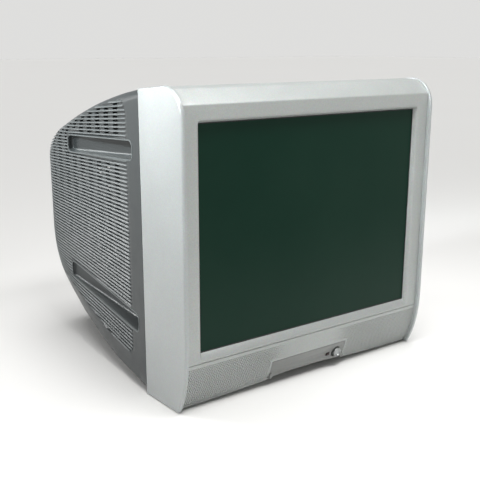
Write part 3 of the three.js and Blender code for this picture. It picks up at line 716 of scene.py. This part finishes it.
def cover_column(y, inset, rows):
    """One column of the left half of the cover, from the middle of its floor to the middle of its top."""
    y_in = y
    if inset:
        past = max(0.0, y - (DEPTH - REAR_ROUND))
        y_in = min(y, DEPTH - REAR_ROUND) + past * (REAR_ROUND - inset) / REAR_ROUND
    half, low, top, (lx, lz), (hx, hz) = section(y_in, inset)
    start, end = math.radians(LOW_ANGLE), math.radians(HIGH_ANGLE)
    points = [(-(half - lx) * k / FLAT_STEPS, y_in, low) for k in range(FLAT_STEPS + 1)]
    for k in range(1, LOW_STEPS):
        a = mix(math.pi / 2, start, k / LOW_STEPS)
        points.append((-(half - lx + lx * math.cos(a)), y_in, low + lz - lz * math.sin(a)))
    bottom = low + lz - lz * math.sin(start)
    ceiling = top - hz + hz * math.sin(end)
    heights = [rib_height(v, y) for v, _, _ in rows]
    first = max(bottom, min(heights[0], ceiling))
    last = max(bottom, min(heights[-1], ceiling))
    heights = [mix(bottom, first, k / PLAIN_STEPS) for k in range(PLAIN_STEPS)] + heights
    heights += [mix(last, ceiling, k / PLAIN_STEPS) for k in range(1, PLAIN_STEPS + 1)]
    plain = [0] * PLAIN_STEPS
    for z, depth in zip(heights, plain + [depth for _, depth, _ in rows] + plain):
        z = max(bottom, min(z, ceiling))
        x = side_reach(y_in, z, inset)
        if not inset and depth:
            x -= RIB_DEPTH * depth * louvre(y, z)
        points.append((-x, y_in, z))
    for k in range(1, HIGH_STEPS):
        a = mix(end, math.pi / 2, k / HIGH_STEPS)
        points.append((-(half - hx + hx * math.cos(a)), y_in, top - hz + hz * math.sin(a)))
    points += [(-(half - hx) * (1 - k / FLAT_STEPS), y_in, top) for k in range(FLAT_STEPS + 1)]
    return points


def kept_cells(rows, stations, count):
    """Which cells of the wall are there: False where a slot is open. A slot is two columns long, with
    two closed columns before the next, in the grooves that are fully cut and clear of the grips."""
    kept = np.ones((len(stations) - 1, count - 1), bool)
    for c, (y, after) in enumerate(zip(stations, stations[1:])):
        turn = round((y - SLOT_START) / SLOT_STEP, 3)
        if turn < 0 or turn % 4 not in (0, 1) or after > SLOT_END:
            continue
        for r, (v, _, part) in enumerate(rows):
            if part != GROOVE:
                continue
            z = rib_height(v, y)
            if min(louvre(y, z), louvre(after, z)) > 0.99 and off_grip(y, z) > SLOT_CLEAR:
                kept[c, BELOW_RIBS + r] = False
    return kept


def is_bar(rows, r, y):
    """Whether the cell above point r of the column at y is a louvre's bar."""
    if not 0 <= r - BELOW_RIBS < len(rows):
        return False
    v, _, part = rows[r - BELOW_RIBS]
    return part == BAR and louvre(y, rib_height(v, y)) > 0.4


def cover_shell():
    """The ribbed wall as a closed solid, with the louvres' slots open. The bars' upward faces take the second
    material, a lighter plastic that paints their highlight.
    """
    rows = cover_rows()
    stations = cover_stations()
    outer = [cover_column(y, 0.0, rows) for y in stations]
    inner = [cover_column(y, COVER_WALL, rows) for y in stations]
    n = len(outer[0])
    inward = len(stations) * n
    kept = kept_cells(rows, stations, n)
    # The wall goes on past the middle and the back, and ends at the seam.
    around = np.pad(kept, 1, constant_values=True)
    around[0] = False
    bars = set()
    points = []
    faces = []
    for flip in (1, -1):
        base = len(points)
        points += [(flip * x, y, z) for column in outer + inner for x, y, z in column]
        for c, r in zip(*np.nonzero(kept)):
            at = base + int(c) * n + int(r)
            cell = (at, at + 1, at + n + 1, at + n)
            # Painted highlight: the bars' upward faces take the lighter plastic.
            if is_bar(rows, r, stations[c]):
                bars.add(len(faces))
            faces.append(cell)
            faces.append(tuple(i + inward for i in reversed(cell)))
            beside = (around[c, r + 1], around[c + 1, r + 2], around[c + 2, r + 1], around[c + 1, r])
            for k, solid in enumerate(beside):
                if not solid:
                    i, j = cell[k], cell[(k + 1) % 4]
                    faces.append((i, j, j + inward, i + inward))
    for wall in (0, inward):
        last = wall + inward - n
        left = [last + i for i in range(n)]
        right = [2 * inward + i for i in reversed(left)]
        faces.append(tuple(left + right[1:-1]))
    return make("rear_cover_shell", points, faces, 28, bars)


# ---------- rear cover: its grips, tunnels and vents ----------

def grip_ring(grip, grow, side, reach):
    """A grip's outline grown by `grow`, at |x| = reach(y, z). Its straight sides keep their length as it
    grows, so every ring of a grip has the same count."""
    turn = math.atan2(grip.z1 - grip.z0, grip.y1 - grip.y0)
    half = grip.height / 2 - GRIP_CORNER
    radius = GRIP_CORNER + grow
    corners = [
        (grip.y0 + GRIP_CORNER, grip.z0 + half, 0.5),
        (grip.y0 + GRIP_CORNER, grip.z0 - half, 1.0),
        (grip.y1 - GRIP_CORNER, grip.z1 - half, 1.5),
        (grip.y1 - GRIP_CORNER, grip.z1 + half, 2.0),
    ]
    flat = []
    for y, z, quarter in corners:
        for k in range(9):
            a = turn + (quarter + k / 16) * math.pi
            flat.append((y + radius * math.cos(a), z + radius * math.sin(a)))
    ring = []
    for (ya, za), (yb, zb) in zip(flat, flat[1:] + flat[:1]):
        steps = max(1, int(math.hypot(yb - ya, zb - za) / 12))
        for k in range(steps):
            ring.append((mix(ya, yb, k / steps), mix(za, zb, k / steps)))
    return [(side * reach(y, z), y, z) for y, z in ring]


def grip_pocket(grip, side):
    """The hollow of a grip: its inner wall with a rounded corner, and a mouth that flares a little and
    ends clear of the cover."""
    flare, deep = GRIP_FLARE
    rings = []
    for k in range(6):
        a = k / 5 * math.pi / 2
        depth = grip.wall + GRIP_FILLET * (1 - math.cos(a))
        rings.append(grip_ring(grip, -GRIP_FILLET * (1 - math.sin(a)), side, lambda y, z: depth))
    rings.append(grip_ring(grip, 0.0, side, lambda y, z: side_reach(y, z) - deep))
    rings.append(grip_ring(grip, flare, side, lambda y, z: side_reach(y, z) + 0.02))
    rings.append(grip_ring(grip, flare, side, lambda y, z: side_reach(y, z) + 6))
    return rings


def on_ledge(grip, point):
    """Whether a point of a grip's pocket is on its lower side, where the fingers pull: the ledge that faces
    up and is painted lighter as a highlight.
    """
    middle = mix(grip.z0, grip.z1, (point[1] - grip.y0) / (grip.y1 - grip.y0))
    return point[2] < middle - grip.height / 2 + 4


def grip_liner(grip, side):
    """The wall behind a grip's hollow, before the hollow is cut."""
    wall = grip.wall - GRIP_WALL
    return [
        grip_ring(grip, 2.2, side, lambda y, z: wall),
        grip_ring(grip, 2.4, side, lambda y, z: max(wall + 1, side_reach(y, z) - 4.2)),
    ]


def grip_lip(grip, side):
    """The bead round a grip's mouth, as a ring of small ovals."""
    grow, flat, proud = GRIP_LIP
    path = grip_ring(grip, grow, side, side_reach)
    n = len(path)
    out = Vector((side, 0, 0))
    points = []
    faces = []
    for i, p in enumerate(path):
        along = (Vector(path[(i + 1) % n]) - Vector(path[i - 1])).normalized()
        across = along.cross(out).normalized()
        for k in range(8):
            a = k / 8 * 2 * math.pi
            points.append(tuple(Vector(p) + across * (flat * math.cos(a)) + out * (proud * math.sin(a))))
    for i in range(n):
        step = ((i + 1) % n - i) * 8
        for k in range(8):
            a, b = i * 8 + k, i * 8 + (k + 1) % 8
            faces.append((a, b, b + step, a + step))
    return points, faces


def tunnel_reach(x, z):
    """How far back the inner wall of the cover is at (x, z)."""
    low, high = float(SEAM), float(DEPTH)
    for _ in range(30):
        middle = (low + high) / 2
        if inside(x, middle, z, 2.6):
            low = middle
        else:
            high = middle
    return low


def tunnel_post(side):
    """The post that a screw's tunnel runs through, from the wall forward."""
    x, z, radius = TUNNEL
    start = circle(radius + POST_WALL, side * x, z, SEAM + 14)
    back = [(px, tunnel_reach(px, pz), pz) for px, _, pz in start]
    front = [(px, min(py, back[i][1] - 1), pz) for i, (px, py, pz) in enumerate(start)]
    return [front, back]


def vent_slots():
    """Openings in the top and the back of the cover."""
    cutters = []
    rows, first, pitch, half = TOP_VENTS
    for row in range(rows):
        y = first + pitch * row
        top = section(y)[2]
        for x in VENT_COLUMNS:
            wide = (x - VENT_HALF, x + VENT_HALF)
            cutters.append(block(wide, (y - half, y + half), (top - 14, top + 6)))
    rows, first, pitch, half = BACK_VENTS
    for row in range(rows):
        z = first + pitch * row
        for x in VENT_COLUMNS:
            wide = (x - VENT_HALF, x + VENT_HALF)
            cutters.append(block(wide, (DEPTH - 12, DEPTH + 5), (z - half, z + half)))
    return cutters


def back_openings():
    """The screw tunnels' bores, the cord gland's hole and the terminal panel's window."""
    x, z, radius = TUNNEL
    openings = [turned([(radius, SEAM + 16), (radius, DEPTH)], side * x, z) for side in (-1, 1)]
    x, z, radius = GLAND
    openings.append(turned([(radius, DEPTH - 30), (radius, DEPTH + 4)], x, z))
    openings.append(block(TERMINALS[0], (DEPTH - 60, DEPTH + 4), TERMINALS[1]))
    return openings


def make_rear_cover(look):
    cover = cover_shell()
    for side in (-1, 1):
        for grip in GRIPS:
            carve(cover, solids("liner", [grip_liner(grip, side)]), "UNION")
            points, faces = loft_mesh(grip_pocket(grip, side))
            # The ledge's faces take the lighter plastic: a painted highlight where the ledge faces the light.
            ledge = {i for i, face in enumerate(faces) if all(on_ledge(grip, points[k]) for k in face)}
            carve(cover, make("pocket", points, faces, second=ledge))
            points, faces = grip_lip(grip, side)
            # The lip takes the lighter plastic all round: a painted highlight on its rim.
            carve(cover, make("lip", points, faces, second=range(len(faces))), "UNION")
        carve(cover, solids("post", [tunnel_post(side)]), "UNION")
    carve(cover, solids("cutters", back_openings()))
    carve(cover, solids("vents", vent_slots()))
    cover.name = "louvred_rear_cover"
    shade(cover, 30)
    # The second material is the lighter plastic: painted highlight on the bars, the ledges and the lips.
    finish(cover, look["dark_grey_plastic"], nodes=["rear_cover"],
           second=look["painted_highlight_grey"])


# ---------- cheeks ----------

def cheek_outline():
    """The cheek's side outline, front edge first, closed."""
    back, bend, high = CHEEK_FOOT
    points = [(SEAM, CHEEK_LOW), (back, CHEEK_LOW)]
    for k in range(1, 15):
        t = k / 14
        points.append((quadratic(back, 0, 0, t), quadratic(CHEEK_LOW, bend, high, t)))
    points += [(0, z) for z in (150, 220, 290, 350)]
    for k in range(21):
        a = math.pi - k / 20 * math.pi / 2
        points.append((CHEEK_ROLL + CHEEK_ROLL * math.cos(a), HEIGHT - CHEEK_ROLL + CHEEK_ROLL * math.sin(a)))
    points += [(y, HEIGHT - drop) for y, drop in CHEEK_TOP]
    return [np.array(p, float) for p in points]


def inset_outline(outline, inset):
    """The outline moved inwards."""
    out = []
    n = len(outline)
    for i, p in enumerate(outline):
        u = p - outline[i - 1]
        v = outline[(i + 1) % n] - p
        a = np.array((-u[1], u[0])) / np.linalg.norm(u)
        b = np.array((-v[1], v[0])) / np.linalg.norm(v)
        normal = (a + b) / np.linalg.norm(a + b)
        reach = inset / max(0.5, float(normal @ a))
        out.append(p - normal * reach)
    return out


def make_cheek(side, look):
    """A side panel with rounded edges, from its inner face out."""
    outline = cheek_outline()
    outer, inner = WIDTH / 2, WIDTH / 2 - CHEEK
    round_out, round_in = CHEEK_EDGES
    quarter = [k / 6 * math.pi / 2 for k in range(7)]
    rings = []
    for a in quarter:
        ring = inset_outline(outline, round_in * (1 - math.sin(a)))
        rings.append([(side * (inner + round_in * (1 - math.cos(a))), y, z) for y, z in ring])
    for a in quarter:
        ring = inset_outline(outline, round_out * (1 - math.cos(a)))
        rings.append([(side * (outer - round_out * (1 - math.sin(a))), y, z) for y, z in ring])
    name = "left" if side < 0 else "right"
    cheek = solids(f"{name}_side_panel", [rings], 40)
    finish(cheek, look["light_silver_plastic"], nodes=[f"{name}_cheek"])


# ---------- bezel, gasket, chin and power button ----------

# Steps along a frame's loop: across, up and round a corner.
ACROSS = 28
UP = 18
CORNER_STEPS = 6


def frame_loop(half, low, high, radius):
    """A rounded rectangle's (x, z) points, the same number whatever its size."""
    corners = [
        (-half + radius, low + radius, 1.0),
        (half - radius, low + radius, 1.5),
        (half - radius, high - radius, 2.0),
        (-half + radius, high - radius, 2.5),
    ]
    counts = [ACROSS, UP, ACROSS, UP]
    loop = []
    for k, (x, z, quarter) in enumerate(corners):
        for i in range(CORNER_STEPS):
            a = (quarter + i / CORNER_STEPS / 2) * math.pi
            loop.append((x + radius * math.cos(a), z + radius * math.sin(a)))
        nx, nz, _ = corners[(k + 1) % 4]
        start = (quarter + 0.5) * math.pi
        first = (x + radius * math.cos(start), z + radius * math.sin(start))
        last = (nx + radius * math.cos(start), nz + radius * math.sin(start))
        for i in range(counts[k]):
            loop.append((mix(first[0], last[0], i / counts[k]), mix(first[1], last[1], i / counts[k])))
    return loop


def face_y(z):
    """The front moulding's y at height z: flat, then curving back under the chin."""
    if z >= CURVE_TOP:
        return FACE
    # Solves z = quadratic(CURVE_TOP, CURVE_BEND, 0, t) for t.
    a = CURVE_TOP - 2 * CURVE_BEND
    b = 2 * CURVE_BEND - 2 * CURVE_TOP
    c = CURVE_TOP - z
    t = (-b - math.sqrt(max(0.0, b * b - 4 * a * c))) / (2 * a)
    return quadratic(FACE, FACE, CURVE_BACK, t)


def bezel_rings():
    """Loops from the glass out: the hollow reveal, then the flat face."""
    wide, below, above, deep = REVEAL
    first, last = REVEAL_CORNER
    rings = []
    for k in range(9):
        s = k / 8
        loop = frame_loop(OPENING_HALF + wide * s, OPENING_LOW - below * s, OPENING_TOP + above * s,
                          mix(first, last, s))
        rings.append([(x, FACE + deep * (1 - s) ** REVEAL_CURVE, z) for x, z in loop])
    for k in range(1, 4):
        s = k / 3
        half = mix(OPENING_HALF + wide, FRONT_HALF, s)
        low = mix(OPENING_LOW - below, CHIN_TOP, s)
        high = mix(OPENING_TOP + above, FACE_TOP, s)
        rings.append([(x, face_y(z), z) for x, z in frame_loop(half, low, high, last * (1 - s))])
    return rings


def make_bezel(look):
    points, faces = loft_mesh(bezel_rings(), close=False)
    profile = fillet(TOP_ROLL)
    faces += grid_faces(len(points), len(profile), ACROSS + 1)
    for y, z in profile:
        points += [(mix(-FRONT_HALF, FRONT_HALF, i / ACROSS), y, z) for i in range(ACROSS + 1)]
    bezel = make("bezel_shell", points, faces, 50)
    thicken(bezel, FRONT_WALL)
    shade(bezel, 50)
    finish(bezel, look["silver_plastic"], nodes=["front_bezel"])


def make_gasket(look):
    """The thin black line round the glass."""
    front, back = GLASS - 0.04, GLASS - 0.5
    rings = []
    for grow, y in ((0.4, front), (0.4, back), (-1.4, back), (-1.4, front), (0.4, front)):
        loop = frame_loop(OPENING_HALF + grow, OPENING_LOW - grow, OPENING_TOP + grow, 1.6 + grow)
        rings.append([(x, y, z) for x, z in loop])
    points, faces = loft_mesh(rings, close=False)
    finish(make("screen_gasket", points, faces), look["gasket_black"])


def arch_low(x):
    """Height of the arched underside at x."""
    s = min(1.0, abs(x) / ARCH_HALF)
    return float(FLOOR + (ARCH - FLOOR) * (1 - smooth(s ** 0.95)))


def chin_column(x):
    """The chin's section at x, from its upper edge down the face and back along the underside."""
    low = arch_low(x)
    top = CHIN_TOP - CHIN_GAP
    front = face_y(low)
    face = [mix(top - 0.5, low + 1.2, k / CHIN_ROWS) for k in range(CHIN_ROWS + 1)]
    column = [(x, face_y(top) + 3, top), (x, face_y(top) + 0.5, top)]
    column += [(x, face_y(z), z) for z in face]
    column += [(x, front + 0.6, low + 0.3), (x, front + 2.0, low), (x, 30, low), (x, SEAM, low)]
    return column


def chin_holes():
    """The perforation: staggered rows, finer towards the middle, clear of the flap and the arch."""
    holes = []
    for side in (-1, 1):
        for row in range(HOLE_ROWS):
            z = HOLE_LOW + row * HOLE_PITCH * HOLE_ROW
            inner = FLAP_HALF + 5 if z < FLAP_TOP + 5 else HOLE_START
            for k in range(HOLES):
                x = side * (inner + k * HOLE_PITCH + (row % 2) * HOLE_PITCH / 2)
                if abs(x) > HOLE_END or z < arch_low(x) + 4:
                    continue
                y = face_y(z)
                radius = HOLE_RADIUS * min(1.0, 0.3 + (abs(x) - HOLE_START) / HOLE_FADE)
                holes.append(turned([(radius, y - 2), (radius, y + 6)], x, z, 8))
    return holes


def make_chin(look):
    places = [mix(-FRONT_HALF, FRONT_HALF, i / CHIN_COLUMNS) for i in range(CHIN_COLUMNS + 1)]
    columns = [chin_column(x) for x in places]
    points = [p for column in columns for p in column]
    chin = make("perforated_chin", points, grid_faces(0, len(columns), len(columns[0])), 40)
    thicken(chin, CHIN_WALL)
    notch = block((-FLAP_HALF - 0.6, FLAP_HALF + 0.6), (-2, CURVE_BACK), (-4, FLAP_TOP + 0.7))
    carve(chin, solids("notch", [notch]))
    carve(chin, solids("holes", chin_holes()))
    shade(chin, 40)
    finish(chin, look["silver_plastic"], nodes=["chin_panel"])


def make_power_button(look):
    """A plated button: a domed middle, a groove, a raised ring, and the stem that reaches the switch."""
    profile = [
        (0.01, 14.8), (4.6, 14.6), (5.2, 13.8), (5.6, 13.1), (6.4, 12.8), (7.0, 13.0), (7.4, 13.8),
        (7.4, 20.4), (7.0, 20.8), (3.0, 20.8), (3.0, 51.0), (0.01, 51.0),
    ]
    button = solids("ring_power_button", [turned(profile, *POWER, 64)], 40)
    finish(button, look["bright_button"], "power_button_body", ["power_button"])


# ---------- CAD pieces that keep their shape ----------

SOFTENED = [
    "control_flap", "control_panel", "standby_light_pipe", "volume_down_button", "volume_up_button",
    "channel_down_button", "channel_up_button", "front_left_foot", "front_right_foot", "rear_left_foot",
    "rear_right_foot", "terminal_panel", "mains_cord_gland", "rear_jack_block", "front_jack_block",
    "cover_screw_left", "cover_screw_right", "tuner",
]


def soften(node, material, body):
    """A copy of a CAD node with its edges rounded, which stands for it."""
    piece = bpy.data.objects.new(f"{node}_finished", frame["nodes"][node].data.copy())
    SCENE.collection.objects.link(piece)
    b = bmesh.new()
    b.from_mesh(piece.data)
    bmesh.ops.remove_doubles(b, verts=b.verts, dist=1e-6)
    bmesh.ops.dissolve_limit(b, angle_limit=math.radians(1), verts=b.verts, edges=b.edges)
    b.to_mesh(piece.data)
    b.free()
    bevel = piece.modifiers.new("round", "BEVEL")
    bevel.width = EDGE_ROUND / 1000
    bevel.segments = 2
    bevel.limit_method = "ANGLE"
    bevel.angle_limit = math.radians(38)
    settle(piece)
    shade(piece, 35)
    finish(piece, material, body, [node])


def dress_nodes(look):
    """Materials for the CAD nodes that show as they are, and finished copies of the visible small ones."""
    slots = {s["node"]: s["material_slot"] for s in frame["record"]["subparts"]}
    body_of = {n: b for b, nodes in frame["record"]["behaviour"]["bodies"].items() for n in nodes}
    for node, piece in frame["nodes"].items():
        slot = slots[node]
        material = look["flap_silver" if node == "control_flap" else slot]
        if node in SOFTENED:
            soften(node, material, body_of[node])
        else:
            piece.data.materials.clear()
            piece.data.materials.append(material)


# ---------- the scene ----------

make_camera()
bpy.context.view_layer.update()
looks = make_materials()
make_studio()
dress_nodes(looks)
make_rear_cover(looks)
make_cheek(-1, looks)
make_cheek(1, looks)
make_bezel(looks)
make_chin(looks)
make_gasket(looks)
make_power_button(looks)
